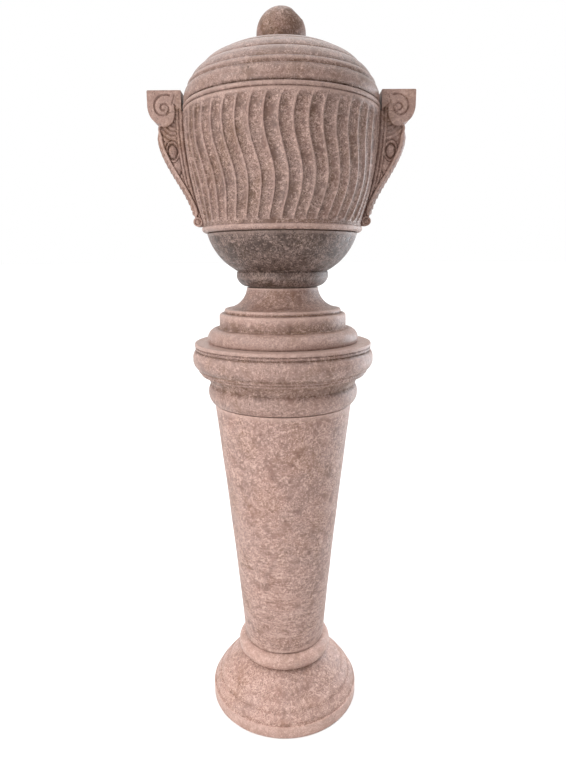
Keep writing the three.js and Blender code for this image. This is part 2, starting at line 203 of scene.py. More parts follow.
class Outline:
    """Half the section of a turned stone: radius and height, straight stretches and arcs."""

    def __init__(self, radius, height):
        self.points = [(radius, height)]

    def to(self, radius, height):
        self.points.append((radius, height))
        return self

    def arc(self, radius, height, rise, steps=12):
        """An arc that stands out from the straight line by rise, or in if it is negative."""
        start, end = np.array(self.points[-1]), np.array((radius, height))
        chord = end - start
        long = np.hypot(*chord)
        out = np.array((chord[1], -chord[0])) / long
        half = 2 * math.atan(2 * rise / long)
        bend = long / 2 / math.sin(half)
        centre = (start + end) / 2 + out * (rise - bend)
        for step in range(1, steps):
            turn = 2 * half * step / steps
            c, s = math.cos(turn), math.sin(turn)
            x, y = start - centre
            self.points.append(tuple(centre + (x * c - y * s, x * s + y * c)))
        self.points.append(tuple(end))
        return self

    def dome(self, radius, height, steps=24):
        """An arc that starts or ends on the axis, and lies level there."""
        start, low = self.points[-1]
        wide, deep = abs(radius - start), height - low
        rise = math.hypot(wide, deep) / 2 * math.tan(math.atan2(deep, wide) / 2)
        return self.arc(radius, height, rise, steps)

    def worn(self, wear, closed=False):
        """The same line with its corners rubbed round, and support points beside them."""
        corners = np.array(self.points)
        line = []
        count = len(corners)
        for i, here in enumerate(corners):
            if not closed and i in (0, count - 1):
                line.append(here)
                continue
            before, after = corners[i - 1] - here, corners[(i + 1) % count] - here
            left, right = np.hypot(*before), np.hypot(*after)
            turn = math.acos(np.clip(-before @ after / left / right, -1, 1))
            if turn < math.radians(14):
                line.append(here)
                continue
            reach = min(wear, 0.30 * left, 0.30 * right)
            first, last = here + before / left * reach, here + after / right * reach
            line.append(here + before / left * reach * 1.5)
            for t in (0, 0.33, 0.67, 1):
                line.append((1 - t) ** 2 * first + 2 * t * (1 - t) * here + t * t * last)
            line.append(here + after / right * reach * 1.5)
        return np.array(line)


def hollows(line, closed, reach=9.0):
    """A mark for each point of a section: above 0 in a hollow or underneath, below 0 on an edge."""
    points = np.vstack([line, line[:1]]) if closed else line
    along = np.concatenate([[0], np.cumsum(np.hypot(*np.diff(points, axis=0).T))])

    def beside(offset):
        at = along[:len(line)] + offset
        at = at % along[-1] if closed else np.clip(at, 0, along[-1])
        return np.array([np.interp(at, along, points[:, k]) for k in (0, 1)]).T

    back, fore = beside(-reach), beside(reach)
    out = np.array([fore[:, 1] - back[:, 1], back[:, 0] - fore[:, 0]]).T
    out /= np.maximum(np.hypot(*out.T), 1e-6)[:, None]
    # sections that dip inward get a mark that the stone draws darker: painted shade, with some grime
    lie = (((back + fore) / 2 - line) * out).sum(1) / 3.0
    # faces that look down are marked to be drawn darker: painted shade under overhangs
    underneath = np.clip(-out[:, 1] - 0.15, 0, 1) * UNDERSIDE_PAINTED_SHADE
    return np.clip(lie, -1, 1) + underneath


def mesh_piece(name, points, faces, material, marks=None, crease=40):
    """A piece from points in millimetres, with any float marks on its points."""
    mesh = bpy.data.meshes.new(name)
    mesh.from_pydata((np.asarray(points, float) * MM).tolist(), [], faces)
    for key, values in (marks or {}).items():
        mark = mesh.attributes.new(key, "FLOAT", "POINT")
        mark.data.foreach_set("value", np.asarray(values, np.float32))
    mesh.validate()
    mesh.shade_smooth()
    mesh.set_sharp_from_angle(angle=math.radians(crease))
    mesh.materials.append(material)
    piece = bpy.data.objects.new(name, mesh)
    bpy.context.scene.collection.objects.link(piece)
    return piece


def unevenness(points, size):
    """Slow waves in a hand-finished surface, the same at the same place each run."""
    x, y, z = points.T / 100.0
    return size * (
        np.sin(1.9 * x + 2.3 * z + 0.7) * np.sin(2.1 * y - 1.3 * z)
        + 0.6 * np.sin(5.1 * x - 3.7 * y + 2.2 * z) * np.sin(4.3 * z + 3.1 * y + 1.0)
    )


def turned(name, outline, material, wear=1.6, spokes=208, closed=False, uneven=0.35):
    """A stone turned from its outline. An open outline starts and ends on the axis."""
    line = outline.worn(wear, closed)
    lie = hollows(line, closed)
    turn = np.arange(spokes) / spokes * 2 * math.pi
    points, marks, rows = [], [], []
    for (radius, height), mark in zip(line, lie):
        if radius < 1e-6:
            rows.append([len(points)] * spokes)
            points.append((0, 0, height))
            marks.append(mark)
            continue
        rows.append(list(range(len(points), len(points) + spokes)))
        ring = np.array([radius * np.cos(turn), radius * np.sin(turn), np.full(spokes, height)]).T
        ring[:, :2] *= (1 + unevenness(ring, uneven) / max(radius, 60))[:, None]
        points += ring.tolist()
        marks += [mark] * spokes
    faces = []
    pairs = zip(rows, rows[1:] + rows[:1]) if closed else zip(rows, rows[1:])
    for low, high in pairs:
        for j in range(spokes):
            k = (j + 1) % spokes
            corners = [low[j], low[k], high[k], high[j]]
            face = [c for i, c in enumerate(corners) if c != corners[i - 1]]
            if len(face) > 2:
                faces.append(face)
    return mesh_piece(name, points, faces, material, {"hollow": marks})


def span(node):
    """Foot and top of a packed stone, and its greatest reach along X, in millimetres."""
    low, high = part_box(node)
    return low.z / MM, high.z / MM, high.x / MM


def settle(piece, body, *nodes):
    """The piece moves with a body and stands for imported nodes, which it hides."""
    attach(piece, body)
    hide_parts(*nodes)


foot, top, reach = span("pedestal_base")
shaft_foot_radius = span("base_bed")[2] + 5
dowel = span("base_dowel")[2] + FIT
# this stone is drawn lighter than the urn's, partly a paler stone and partly painted light
pedestal_stone = marble("column_base_marble", light=1.34, ochre=0.30, pits=0.15, flecks=0.9, gloss=0.40)
base_outline = (
    Outline(0, foot).to(reach - 2, foot).to(reach, foot + 2).to(reach, foot + 32)
    .arc(reach - 4, foot + 36, 1.2, 4)
    .arc(reach - 19, foot + 62.5, 2).to(reach - 19.5, foot + 64).to(reach - 21.5, foot + 64.4)
    .arc(reach - 40, foot + 86.6, 2).to(reach - 40.5, foot + 88).to(reach - 42.5, foot + 88.6)
    .arc(shaft_foot_radius, foot + 142, 2)
    .arc(shaft_foot_radius - 2, top, 21, 24)
    .to(dowel, top).to(dowel, top - 90).to(0, top - 90)
)
settle(turned("column_base", base_outline, pedestal_stone), "pedestal", "pedestal_base")

# ---- Column shaft --------------------------------------------------------------------
# A tapered drum of the same marble, wider at the top, with a slight hollow in its line.
# It was left with fine level tool marks low down, which are also drawn paler there as painted light,
# and stands on a dowel at each end.
foot, top, reach = span("pedestal_shaft")
shaft_stone = marble(
    "shaft_marble", light=1.07, ochre=0.42, pits=0.22, flecks=1.0, tooling_and_painted_light=0.8, gloss=0.44
)
shaft_outline = Outline(0, foot + 90).to(dowel, foot + 90).to(dowel, foot).to(shaft_foot_radius, foot)
shaft_outline.arc(reach, top, -3, 40).to(dowel, top).to(dowel, top - 90).to(0, top - 90)
settle(turned("column_shaft", shaft_outline, shaft_stone, wear=1.2), "pedestal", "pedestal_shaft")

# ---- Column capital ------------------------------------------------------------------
# One turned stone: a neck roll, a short cove, two thin fillets, a broad ovolo and a flat crown
# with two fine grooves. A dowel in its middle finds the urn's foot.
foot, top, reach = span("pedestal_capital")
neck = span("neck_bed")[2] + 5
pin = span("urn_locating_dowel")[2] + FIT
capital_stone = marble("capital_marble", light=0.87, ochre=0.50, pits=0.25, flecks=0.8, gloss=0.38)
capital_outline = (
    Outline(0, foot + 52).to(dowel, foot + 52).to(dowel, foot).to(neck + 3, foot)
    .arc(neck + 9, foot + 52, 10, 20)
    .arc(neck + 31, foot + 80, -4, 12)
    .to(neck + 35, foot + 80.4).to(neck + 35.4, foot + 86.5).to(neck + 38, foot + 88)
    .to(neck + 41, foot + 88.6).to(neck + 41.4, foot + 94.5).to(neck + 43, foot + 96)
    .arc(neck + 56, foot + 124, 4, 14).arc(neck + 49, foot + 146, 2.5, 12)
    .to(neck + 46.5, foot + 147).to(neck + 46.5, foot + 149).to(neck + 49, foot + 149.8)
    .to(neck + 49, foot + 154.6).to(neck + 47.2, foot + 155.6).to(neck + 47.2, foot + 157.4)
    .to(neck + 50, foot + 158.4).to(neck + 50, foot + 163)
    .arc(neck + 45, top, 1.5, 6)
    .to(pin, top).to(pin, top - 70).to(0, top - 70)
)
capital = turned("column_capital", capital_outline, capital_stone, wear=1.0)
settle(capital, "pedestal", "pedestal_capital")

# ---- Urn foot ------------------------------------------------------------------------
# A stepped round foot that runs up into a hollow stem. It has a blind hole for the column's
# dowel, so the whole urn lifts off.
foot, top, _ = span("urn_foot")
stem = span("stem_bed")[2] + 5
socket_top = span("urn_locating_dowel")[1] + 1
foot_stone = marble("urn_foot_marble", light=1.0, ochre=0.45, pits=0.25, flecks=0.7, gloss=0.36)
foot_outline = (
    Outline(0, socket_top).to(pin + 0.7, socket_top).to(pin + 0.7, foot)
    .to(203, foot).arc(199, foot + 28, 4, 16)
    .arc(177, foot + 37.4, 3, 10).to(175, foot + 38.4)
    .to(172, foot + 41).to(172, foot + 70)
    .arc(164, foot + 78, 2.5, 8).to(158, foot + 79)
    .arc(155, foot + 90, 2, 6).to(146, foot + 91)
    .to(144, foot + 92).arc(stem, top, -12, 24)
    .to(dowel - 2, top).to(dowel - 2, top - 50).to(0, top - 50)
)
settle(turned("urn_foot_stone", foot_outline, foot_stone, wear=1.3), "urn", "urn_foot")

# ---- Urn bowl ------------------------------------------------------------------------
# The underside of the urn: a heavy roll on the stem and a round bowl, hollow inside.
# This stone is browner than the rest and full of small open pores. It is also drawn much darker than
# the rest, painted shade for the urn's underside.
foot, top, _ = span("urn_bowl")
bowl_rim = span("bowl_bed")[2] + 5
roll_top = foot + 40
drum_low = 206  # body radius at the foot of the flutes
drum_wall = 40  # thickness of the body's wall, which the bowl's rim carries on
bowl_stone = marble("bowl_marble", light=0.25, ochre=1.0, pits=1.0, flecks=1.1, gloss=0.34)
bowl_outline = (
    Outline(0, foot + 38).to(dowel - 2, foot + 38).to(dowel - 2, foot).to(stem + 2, foot)
    .arc(stem + 27, foot + 25, 5, 20).to(stem + 26.5, roll_top - 3).to(stem + 24, roll_top)
    .arc(bowl_rim, top, 12.5, 40).to(drum_low - drum_wall, top).dome(0, roll_top + 30)
)
settle(turned("urn_bowl_stone", bowl_outline, bowl_stone, wear=1.4), "urn", "urn_bowl")

# ---- Fluted body ---------------------------------------------------------------------
# A hollow marble drum, wider at the top, with a rounded lip at its foot. Its wall is carved
# with upright flutes that wave to and fro, each a scoop with a round end and a thin arris.
foot, body_top, _ = span("urn_body")
drum_top = 248  # body radius at the top of the flutes
flute_foot = foot + 22
flute_height = body_top - 11 - flute_foot
flutes = 46
first_arris = 0.22  # place of the first arris, as a share of a flute's width
cells = 14  # strips across one flute, the first of them its arris
arris = 0.085  # share of a flute's width that its arris takes
body_stone = marble("body_marble", light=0.73, ochre=0.60, pits=0.35, flecks=0.9, gloss=0.36)


def wall_radius(share, low=drum_low, high=drum_top, belly=11.0):
    """Outside radius of the drum, between its foot and its top."""
    return low + (high - low) * share + belly * 4 * share * (1 - share)


body_outline = (
    Outline(drum_low - drum_wall, foot).to(drum_low - 5, foot)
    .arc(drum_low + 5, foot + 9, 2.8, 10).arc(drum_low + 1, foot + 14, 1.5, 6)
    .to(drum_low + 0.6, flute_foot - 1.2).to(drum_low, flute_foot)
)
ends = 16.0  # stretch at each end of a flute that has closer rings
levels = np.concatenate([
    np.linspace(0, ends, 14)[1:], np.linspace(ends, flute_height - ends, 46)[1:-1],
    np.linspace(flute_height - ends, flute_height, 15),
]) / flute_height
for share in levels:
    body_outline.to(wall_radius(share), flute_foot + share * flute_height)
body_outline.to(drum_top + 0.8, flute_foot + flute_height + 1.5).to(drum_top + 0.8, body_top - 4)
body_outline.to(drum_top - 2.5, body_top).to(drum_top - drum_wall, body_top)
for share in np.linspace(1, 0, 9):
    body_outline.to(wall_radius(share) - drum_wall, flute_foot + share * flute_height)
across = np.concatenate([[0], arris + (1 - arris) * np.linspace(0, 1, cells)[:-1]])
spoke_turns = ((np.arange(flutes)[:, None] + across + first_arris) / flutes * 2 * math.pi).ravel()

line = body_outline.worn(1.0, closed=True)
rings = len(line)
ring_turns = len(spoke_turns)
grid = np.zeros((rings, ring_turns, 3))
grid[:, :, 0] = line[:, :1] * np.cos(spoke_turns)
grid[:, :, 1] = line[:, :1] * np.sin(spoke_turns)
grid[:, :, 2] = line[:, 1:]
outside = line[:, 0] > drum_low - drum_wall / 2
carved = outside & (line[:, 1] > flute_foot + 0.01) & (line[:, 1] < flute_foot + flute_height - 0.01)
index = np.arange(rings * ring_turns).reshape(rings, ring_turns)
up, side = np.roll(index, -1, axis=0), np.roll(index, -1, axis=1)
body_faces = np.stack([index, side, np.roll(up, -1, axis=1), up], axis=-1).reshape(-1, 4).tolist()
body = mesh_piece(
    "urn_body_stone", grid.reshape(-1, 3), body_faces, body_stone,
    {"carved": np.repeat(carved, ring_turns), "hollow": np.repeat(hollows(line, True), ring_turns)},
)


def carving_tree(name, inputs):
    """An empty geometry tree with one float input for each named size, and its geometry in."""
    tree = bpy.data.node_groups.new(name, "GeometryNodeTree")
    tree.interface.new_socket("Geometry", in_out="INPUT", socket_type="NodeSocketGeometry")
    for key in inputs:
        tree.interface.new_socket(key, in_out="INPUT", socket_type="NodeSocketFloat")
    tree.interface.new_socket("Stone", in_out="INPUT", socket_type="NodeSocketMaterial")
    tree.interface.new_socket("Geometry", in_out="OUTPUT", socket_type="NodeSocketGeometry")
    into = tree.nodes.new("NodeGroupInput")
    given = {socket.name: Wire(tree, socket) for socket in into.outputs if socket.name}
    return tree, given


def finish_tree(tree, given, shape):
    """Ends a geometry tree: its copies made real and its stone set."""
    shape = given["Geometry"].make("GeometryNodeRealizeInstances", {}, {"Geometry": shape})
    shape = shape.make("GeometryNodeSetMaterial", {}, {"Geometry": shape, "Material": given["Stone"]})
    tree.links.new(shape.socket, tree.nodes.new("NodeGroupOutput").inputs["Geometry"])


def carve(piece, tree, values, stone):
    """Runs a geometry tree on a piece and keeps the result as its plain mesh."""
    modifier = piece.modifiers.new(tree.name, "NODES")
    modifier.node_group = tree
    for item in tree.interface.items_tree:
        if item.in_out == "INPUT" and item.name in values:
            modifier[item.identifier] = float(values[item.name])
        elif item.in_out == "INPUT" and item.name == "Stone":
            modifier[item.identifier] = stone
    bpy.context.view_layer.update()
    shaped = piece.evaluated_get(bpy.context.evaluated_depsgraph_get())
    mesh = bpy.data.meshes.new_from_object(shaped)
    piece.modifiers.clear()
    piece.data = mesh
    mesh.name = piece.name
    return piece


flute_sizes = {
    "Flutes": flutes, "First Arris": first_arris, "Arris Share": arris, "Depth": 6.0 * MM,
    "Foot Level": flute_foot * MM, "Height": flute_height * MM,
    "Swing": 11.3 * MM, "Crest Share": 0.34, "Half Wave Share": 0.46,
    "End Length": 15 * MM, "Lean": 0.62, "Hand Wobble": 0.5 * MM,
}
flute_tree, given = carving_tree("waving_flutes", flute_sizes)
new = Wire(flute_tree)
here = new.make("GeometryNodeInputPosition")
x, y, z = [new.make("ShaderNodeSeparateXYZ", {}, {0: here}, out=k) for k in range(3)]
carved_mark = new.make("GeometryNodeInputNamedAttribute", {"data_type": "FLOAT"}, {"Name": "carved"})
old_mark = new.make("GeometryNodeInputNamedAttribute", {"data_type": "FLOAT"}, {"Name": "hollow"})
radius = (x * x + y * y) ** 0.5
turn = new.sum("ARCTAN2", y, x)
share = ((z - given["Foot Level"]) / given["Height"]).clamped()
flute = turn / (2 * math.pi) * given["Flutes"] - given["First Arris"] + 0.00001
part = new.sum("FRACT", flute)
scoop = ((part - given["Arris Share"]) / (1 - given["Arris Share"])).clamped()
lateral = new.sum("ABSOLUTE", (scoop ** given["Lean"]) * 2 - 1)
rise = z - given["Foot Level"]
from_foot = (1 - rise / given["End Length"]).clamped()
from_top = (1 - (given["Height"] - rise) / given["End Length"]).clamped()
room = (1 - lateral * lateral - from_foot * from_foot - from_top * from_top).clamped()
each = new.make(
    "FunctionNodeRandomValue", {"data_type": "FLOAT"},
    {"Min": 0.86, "Max": 1.08, "ID": new.sum("FLOOR", flute), "Seed": 7}, out=1,
)
deep = (room ** 0.62) * carved_mark * each
wobble = new.make("ShaderNodeTexNoise", {}, {"Vector": here, "Scale": 22.0, "Detail": 2.0}) - 0.5
wave = new.sum("COSINE", (share - given["Crest Share"]) / given["Half Wave Share"] * math.pi)
swing = (wave + 1) * given["Swing"] / radius + wobble * given["Hand Wobble"] * 6 / radius
new_turn = turn + swing
new_radius = radius - deep * given["Depth"] + wobble * given["Hand Wobble"]
spot = new.make("ShaderNodeCombineXYZ", {}, {
    0: new_radius * new.sum("COSINE", new_turn), 1: new_radius * new.sum("SINE", new_turn), 2: z,
})
from_arris = part - given["Arris Share"] / 2
# the arrises are drawn paler: rubbed wear, and painted highlight along each arris
arris_wear_and_painted_highlight = carved_mark * (1 - from_arris.sum("ABSOLUTE", from_arris).fade(0.02, 0.08)) * 0.85
# the scoops are drawn darker the deeper they go and most on their left wall: painted shade, as if lit
# from the left
shape = new.make("GeometryNodeStoreNamedAttribute", {"data_type": "FLOAT", "domain": "POINT"}, {
    "Geometry": given["Geometry"], "Name": "hollow",
    "Value": carved_mark * (deep * (1.15 - scoop) - 0.18) - arris_wear_and_painted_highlight + old_mark * (1 - carved_mark),
})
shape = new.make("GeometryNodeSetPosition", {}, {"Geometry": shape, "Position": spot})
finish_tree(flute_tree, given, shape)
carve(body, flute_tree, flute_sizes, body_stone)
body.data.set_sharp_from_angle(angle=math.radians(26))
settle(body, "urn", "urn_body")

# ---- Handles -------------------------------------------------------------------------
# A console bracket on each side, carved from one marble block: a square-topped volute, an
# acanthus leaf below it with a thin fin along its edge, and a small rolled toe.
handle_low, handle_top, handle_reach = span("handle_right")
handle_stone = marble("handle_marble", light=0.95, ochre=0.75, pits=0.3, flecks=0.6, gloss=0.42)
half_top, half_toe = 35.0, 17.0  # half the handle's width, at its top and its toe
volute_u, volute_z, volute_r = handle_reach - 41, handle_top - 41, 44.0
leaf_top, leaf_outer = handle_top - 97, drum_top + 63.0
toe_u, toe_z, toe_r = drum_low + 15.0, flute_foot + 7.0, 12.0
toe_outer, leaf_foot = drum_low + 23.0, toe_z + toe_r
leaf_run = leaf_top - leaf_foot
recess = 6.5  # how far the leaf's side lies back from the volute's
fin_inset = 6.0  # how far the fin lies back from the handle's packed outline
bulge = 13.0  # how far the middle of the leaf's outer face stands past its fin
rows, cols, strip = 300, 64, 34  # loops, then points across a side and across the outer face
lid_edge = span("lid")[2] + 3.3  # radius that the volute's block stops at, beside the lid


def bezier(p0, p1, p2, p3, count):
    """Points along a curve from p0 to p3, pulled towards p1 and p2."""
    t = np.linspace(0, 1, count)[:, None]
    p0, p1, p2, p3 = map(np.array, (p0, p1, p2, p3))
    return (1 - t) ** 3 * p0 + 3 * (1 - t) ** 2 * t * p1 + 3 * (1 - t) * t * t * p2 + t ** 3 * p3


def smooth(value, low, high):
    """0 up to low and 1 from high on, with a soft change between them."""
    t = np.clip((value - low) / (high - low), 0, 1)
    return t * t * (3 - 2 * t)


def line_at(distance, half_width):
    """1 on a line and 0 away from it."""
    return 1 - smooth(np.abs(distance), half_width * 0.3, half_width)


toe_turn = np.radians(np.arange(60, -91, -10))
corner = (handle_reach - 34, handle_top - 79)
edge = np.vstack([
    [(handle_reach - 3, handle_top), (handle_reach - 0.8, handle_top - 0.8)],
    [(handle_reach, handle_top - 3)],
    bezier((handle_reach, handle_top - 39), (handle_reach - 2, handle_top - 60),
           (handle_reach - 12, handle_top - 77), corner, 24),
    bezier(corner, (leaf_outer + 1, leaf_top + 15), (leaf_outer - 1, leaf_top + 10),
           (leaf_outer, leaf_top), 8)[1:],
    bezier((leaf_outer, leaf_top), (leaf_outer + 12, leaf_foot + leaf_run * 0.71),
           (toe_outer + 3, leaf_foot + leaf_run * 0.29), (toe_outer, leaf_foot), 150)[1:],
    np.array([toe_u + toe_r * np.cos(toe_turn), toe_z + toe_r * np.sin(toe_turn)]).T,
])
along = np.concatenate([[0], np.cumsum(np.hypot(*np.diff(edge, axis=0).T))])
run = np.linspace(0, along[-1], rows)
edge = np.array([np.interp(run, along, edge[:, k]) for k in (0, 1)]).T
leaf_start = run[np.argmin(np.hypot(edge[:, 0] - leaf_outer, edge[:, 1] - leaf_top))]
leaf_end = along[-1] - toe_r * math.radians(150)

# the volute's groove winds in from the top, over the outer side
winding = np.linspace(0, 3.3 * math.pi, 260)
groove_r = 33 * np.exp(-winding / 5.5)
groove = np.array([
    volute_u + groove_r * np.cos(math.radians(118) - winding),
    volute_z + groove_r * np.sin(math.radians(118) - winding),
]).T


def side_carving(u, z, outer):
    """Depth of the carving on the handle's side faces, below 0 where it is cut back."""
    wall = wall_radius(np.clip((z - flute_foot) / flute_height, 0, 1))
    from_wall, from_edge = u - wall, outer - u
    from_eye = np.hypot(u - volute_u, z - volute_z)
    # bearing from the volute's eye: 0 towards the body, 90 down, 180 out
    bearing = np.degrees(np.arctan2(volute_z - z, volute_u - u))
    bearing = (bearing + 45) % 360 - 45
    # the volute's disc and the strap that runs from it to the body stand at full width
    disc = smooth(volute_r - 17 * (1 - smooth(bearing, 0, 90)) - from_eye, -1, 1)
    strap = smooth(z - (handle_top - 30) + 0.8 * np.clip(handle_reach - 65 - u, 0, None), -1, 1)
    block = np.maximum(disc, strap)
    cut = np.hypot(u[:, None] - groove[:, 0], z[:, None] - groove[:, 1]).min(1)
    scroll = -3.8 * (1 - smooth(cut, 0.6, 3.6)) + 1.6 * (1 - smooth(from_eye, 2.5, 7.0))
    tongue = line_at(u - (handle_reach - 66) + 0.35 * (z - handle_top + 20), 2.2)
    tongue *= smooth(handle_top - z, 6, 12)
    scroll -= 2.0 * tongue * smooth(volute_u - u, 18, 22)
    # tiles of leaf, smaller towards the toe, each a dome of three fingers with a drilled eye behind
    share = np.clip((z - leaf_foot) / leaf_run, -0.2, 1.4)
    pitch = 15 + 20 * np.clip(share, 0, 1)
    phase = np.log(15 + 20 * share) * 7.5 - 0.020 * from_edge
    lobe = phase - np.floor(phase)
    spread = smooth(from_wall, 10, 20) * smooth(from_edge, 2, 7)
    dome = np.clip(1 - (2 * lobe - 1) ** 2, 0, 1) ** 0.5
    fingers = np.abs(np.sin((lobe * 2.5 + from_edge / pitch * 0.9) * math.pi)) ** 0.7
    leaf = -recess + spread * (3.6 * dome + 2.2 * fingers)
    eye_offset = from_wall - 24 + 5 * np.sin(np.floor(phase) * 2.4)
    drilled = np.hypot(eye_offset / 3.4, np.minimum(lobe, 1 - lobe) * pitch / 3.0)
    leaf -= 4.5 * (1 - smooth(drilled, 0.5, 1.3))
    # petals hung under the volute, and a big oval bead in a ring below them
    swag = np.hypot(u - (volute_u - 27), z - (volute_z - 28))
    hung = smooth(swag, 62, 58) * smooth(z, handle_top - 128, handle_top - 122)
    petals = -recess + 1.0 + 3.4 * np.abs(np.cos(swag / 10.5 * math.pi)) ** 0.7
    leaf = leaf * (1 - hung) + hung * petals
    oval = np.hypot((u - (handle_reach - 58)) / 11.0, (z - (handle_top - 143)) / 16.0)
    bead = -recess + 4.6 * np.sqrt(np.clip(1 - oval ** 2, 0, 1)) + 3.8 * line_at(oval - 1.42, 0.30)
    leaf = np.where(oval < 1.7, bead - 2.0 * line_at(oval - 1.08, 0.16), leaf)
    # two reeds beside the wall, and the fin along the outer edge
    reeds = -recess + 1.5 + 3.2 * np.abs(np.sin(np.clip(from_wall, 0, 18) / 18 * 2 * math.pi)) ** 0.6
    leaf = np.where(from_wall < 18, reeds, leaf)
    fin = 1 - smooth(from_edge, 4.0, 5.6)
    leaf = leaf * (1 - fin) - 0.4 * fin - 2.2 * np.exp(-((from_edge - 7.4) / 1.7) ** 2)
    # the toe's small scroll
    from_toe = np.hypot(u - toe_u, z - toe_z)
    toe = -1.0 - 2.2 * line_at(from_toe - 7.0, 1.8) + 0.8 * smooth(4 - from_toe, 0, 3)
    leaf = np.where(from_toe < toe_r + 0.5, toe, leaf)
    leaf = np.where((z < leaf_foot) & (from_toe >= toe_r + 0.5), -3.0, leaf)
    under_disc = np.exp(-(np.clip(from_eye - volute_r, 0, None) / 4.0) ** 2) * (z < volute_z)
    return block * scroll + (1 - block) * (leaf - 1.5 * under_disc)


def along_leaf(run_mm):
    """1 on the leaf's stretch of the edge, and 0 on the volute and the toe."""
    begun = smooth(run_mm, leaf_start - 6, leaf_start + 14)
    return begun * (1 - smooth(run_mm, leaf_end - 14, leaf_end))


def outer_carving(run_mm, across_face, half):
    """How far the outer face stands out past its edge, and a mark that draws its hollows darker as
    painted shade.
    """
    on_leaf = along_leaf(run_mm)
    wide = np.abs(across_face) * half
    lobe = run_mm / 15.0 + wide / 24.0
    lobe = lobe - np.floor(lobe)
    tooth = np.clip(1 - np.abs(2 * lobe - 1.15), 0, 1) ** 0.6
    rib = np.exp(-(wide / 3.0) ** 2)
    crown = bulge * (1 - across_face ** 2) ** 0.5
    veins = 1.1 * np.abs(np.sin(lobe * 2 * math.pi)) * (1 - rib) * (1 - across_face ** 6)
    leaf = crown * (0.52 + 0.48 * tooth) + 0.8 * rib - veins
    depth = on_leaf * leaf - (1 - on_leaf) * 1.2 * line_at(wide - 0.62 * half, 2.0)
    return depth, np.clip(on_leaf * (0.8 - tooth * 1.1 + veins * 0.3), -0.5, 0.9)


def handle(name, way):
    """One handle: loops of points from its flat top down to its toe, closed at both ends."""
    loops, marks = [], []
    normal = np.gradient(edge, axis=0)
    normal = np.array([-normal[:, 1], normal[:, 0]]).T
    normal /= np.hypot(*normal.T)[:, None]
    behind = np.linspace(0, 1, cols)
    face = np.linspace(-1, 1, strip + 2)[1:-1]
    fin_line = edge - normal * fin_inset * along_leaf(run)[:, None]
    for (u_out, z_out), out_way, run_mm in zip(fin_line, normal, run):
        widening = np.clip((z_out - handle_low) / (leaf_top - handle_low), 0, 1)
        half = half_toe + (half_top - half_toe) * widening
        z_in = handle_top + (handle_low - handle_top) * run_mm / run[-1]
        if z_in > body_top + 0.4:
            wall = lid_edge
        else:
            wall = wall_radius(np.clip((z_in - flute_foot) / flute_height, 0, 1)) - 9
        u_in = math.sqrt(wall ** 2 - half ** 2)
        u, z = u_in + (u_out - u_in) * behind, z_in + (z_out - z_in) * behind
        depth = side_carving(u, z, u_out) * smooth(handle_top - z, 0, 3)
        front = np.array([u, -(half + depth), z]).T
        stand, stand_mark = outer_carving(np.full(strip, run_mm), face, half)
        middle = np.array([
            u_out + out_way[0] * stand, face * (half + depth[-1]),
            np.minimum(z_out + out_way[1] * stand, handle_top),
        ]).T
        # deeper carving is drawn darker, painted shade in the recesses with some grime; the strip
        # beside the fin is drawn paler, a painted highlight along its edge
        side_mark = np.clip((-depth - 2.8) / 4.0, -0.5, 1.0)
        side_mark[-7:] -= 0.9 * smooth(behind[-7:], behind[-8], 1) * (z_out < leaf_top)
        loops.append(np.vstack([front, middle, front[::-1] * (1, -1, 1)]))
        marks.append(np.concatenate([side_mark, stand_mark, side_mark[::-1]]))
    points = np.array(loops) * (way, way, 1)
    count = points.shape[1]
    index = np.arange(rows * count).reshape(rows, count)
    side = np.roll(index, -1, axis=1)
    faces = np.stack([index[:-1], index[1:], side[1:], side[:-1]], axis=-1).reshape(-1, 4).tolist()
    faces += [index[0].tolist(), index[-1][::-1].tolist()]
    marks = {"hollow": np.ravel(marks)}
    return mesh_piece(name, points.reshape(-1, 3), faces, handle_stone, marks, crease=50)


for name, way in (("right", 1), ("left", -1)):
    settle(handle("handle_stone_" + name, way), "urn", "handle_" + name)

# ---- Lid -----------------------------------------------------------------------------
# A turned marble lid that lifts off: a bead, a broad ovolo and a low dome with faint rings,
# hollow underneath, with a register that drops inside the body's mouth.
foot, top, reach = span("lid")
lid_foot = body_top + FIT
register = reach - 45
knob_dowel = span("knob_dowel")[2] + FIT
seat = span("knob_bed")[2] + 17
lid_stone = marble("lid_marble", light=0.68, ochre=0.55, pits=0.3, flecks=0.7, gloss=0.30)
lid_outline = (
    Outline(0, top - 44).dome(register - 34, lid_foot + 12)
    .to(register - 34, foot).to(register - 2, foot).to(register, foot + 2).to(register, lid_foot)
    .to(reach - 5, lid_foot).arc(reach - 3, lid_foot + 10.2, 3.4, 10)
    .to(reach - 7.6, lid_foot + 11).to(reach - 7.6, lid_foot + 13.6).to(reach - 5.4, lid_foot + 14)
    .arc(reach - 10, lid_foot + 47.4, 4.0, 16).to(reach - 13, lid_foot + 49)
    .to(reach - 13, lid_foot + 52).arc(reach - 20, lid_foot + 65, 2.2, 8)
    .arc(reach - 43, lid_foot + 92.4, 2.6, 12)
    .to(reach - 45.5, lid_foot + 92).to(reach - 47, lid_foot + 95.4)
    .arc(reach - 82, lid_foot + 121.6, 3.2, 14)
    .to(reach - 83.8, lid_foot + 121.2).to(reach - 86, lid_foot + 124.4)
    .arc(seat, top, 6.6, 20).to(0, top)
)
settle(turned("lid_stone", lid_outline, lid_stone, wear=1.0), "lid", "lid")

